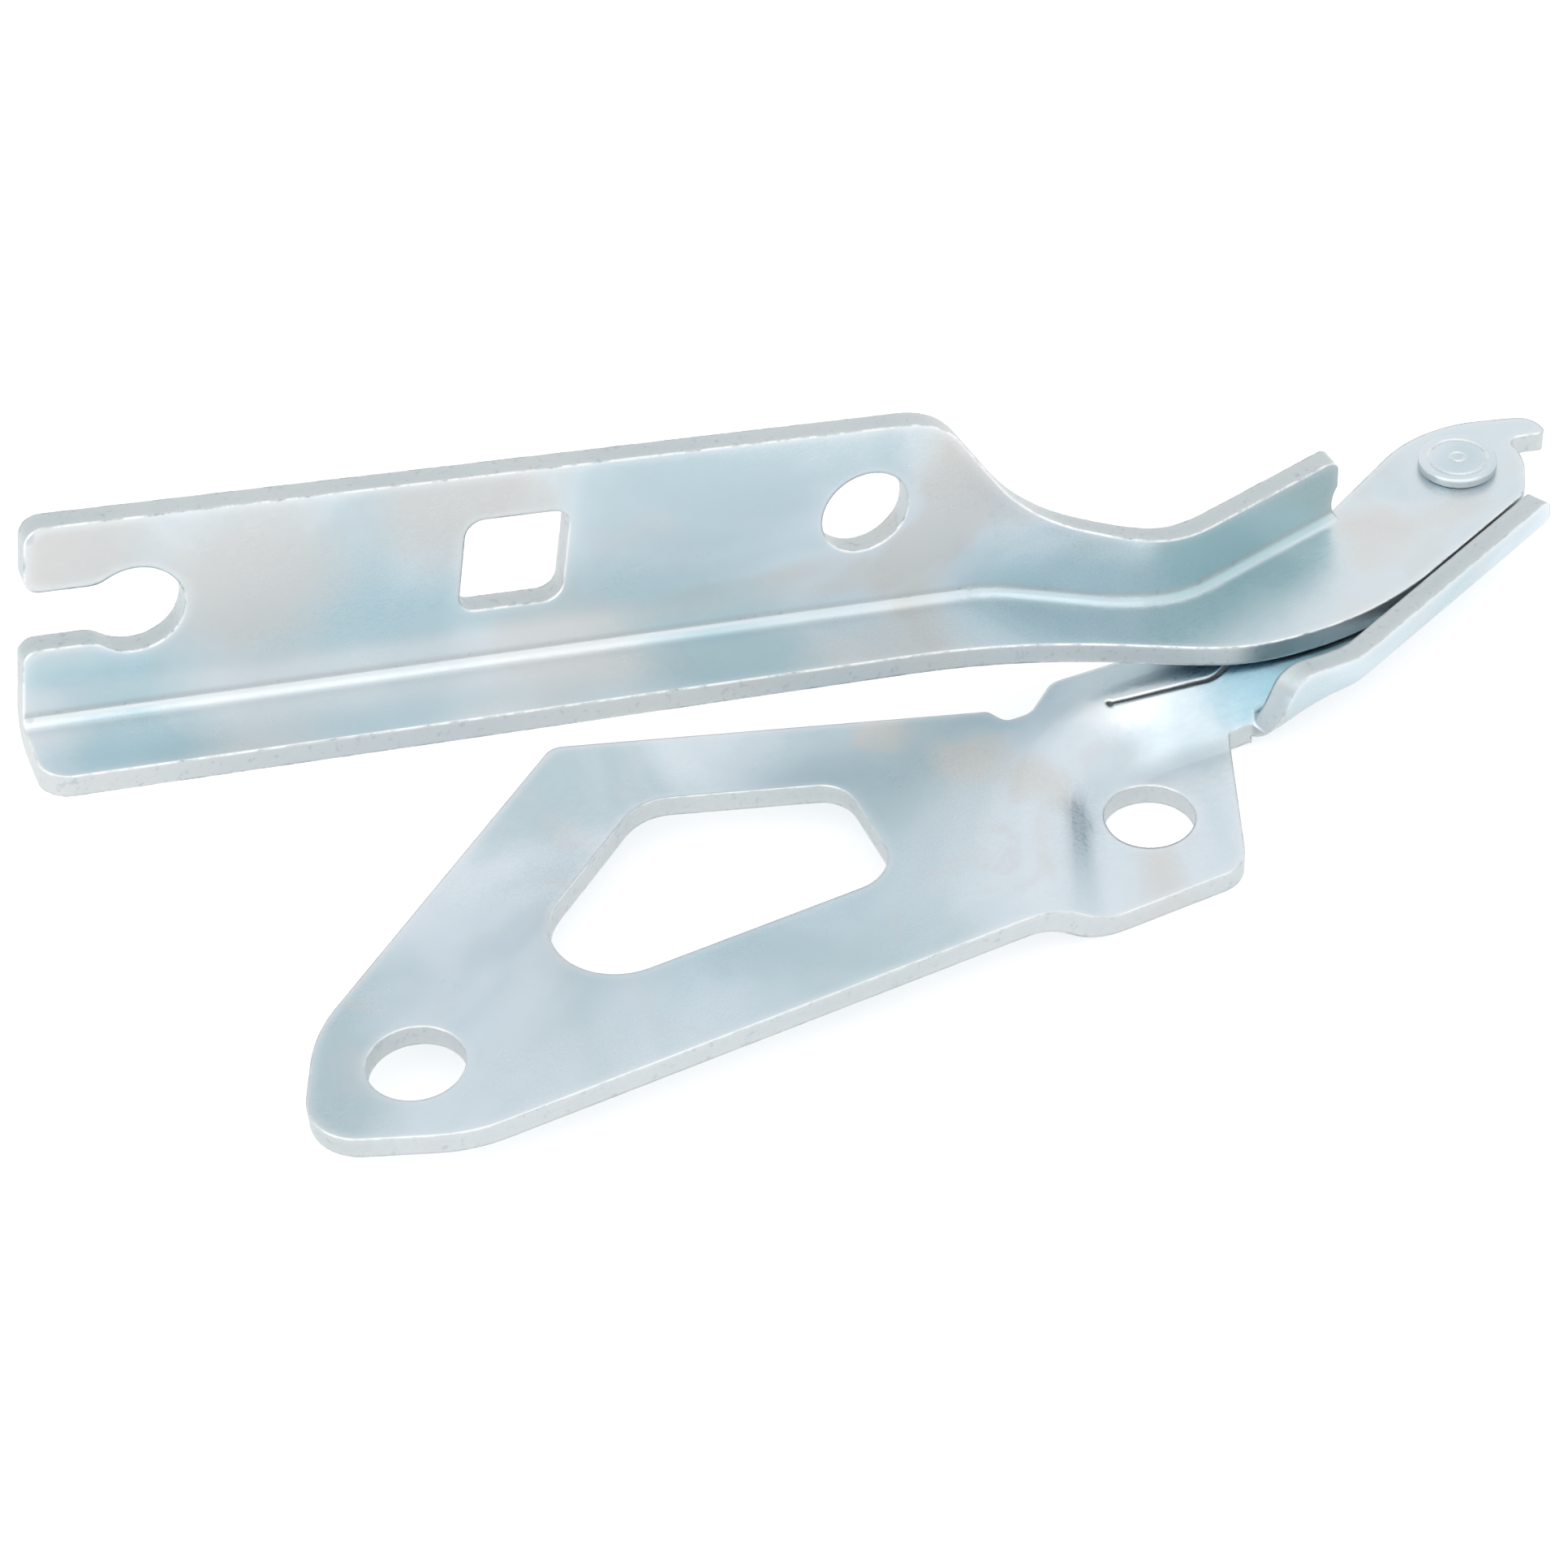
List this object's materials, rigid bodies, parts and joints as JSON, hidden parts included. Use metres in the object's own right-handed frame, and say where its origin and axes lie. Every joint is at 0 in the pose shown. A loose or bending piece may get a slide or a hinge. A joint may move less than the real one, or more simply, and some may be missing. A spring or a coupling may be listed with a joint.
{
  "type": "hood hinge",
  "caption": "Hood hinge of pressed sheet steel: a flat body bracket with a window and a lowered pad, and a folded hood arm that swings on a rivet.",
  "frame": {"origin": "centre of the bracket's first bolt hole, on the underside of the bracket plate", "axes": "+Z along the bolt and pivot axes, out of the bracket's upper face; +X along the hood arm towards the pivot; +Y from the bracket's front edge towards the arm's upright flange"},
  "size_m": [0.2144, 0.0662, 0.0695],
  "materials": {
    "bracket_zinc": "satin zinc plate with a pale blue passivate",
    "arm_zinc": "satin zinc plate with a pale blue passivate",
    "rivet_zinc": "satin zinc plate",
    "bush_bronze": "plain sintered bronze"
  },
  "bodies": {
    "bracket": {"body_bracket": "bracket_zinc", "pivot_rivet": "rivet_zinc"},
    "arm": {"hood_arm": "arm_zinc", "pivot_bush": "bush_bronze"}
  },
  "joints": [
    {"name": "hood_swing", "type": "hinge", "parent": "bracket", "child": "arm", "pos_m": [0.1669, 0.0437, 0], "axis": [0, 0, -1], "range_deg": [0, 59]}
  ]
}
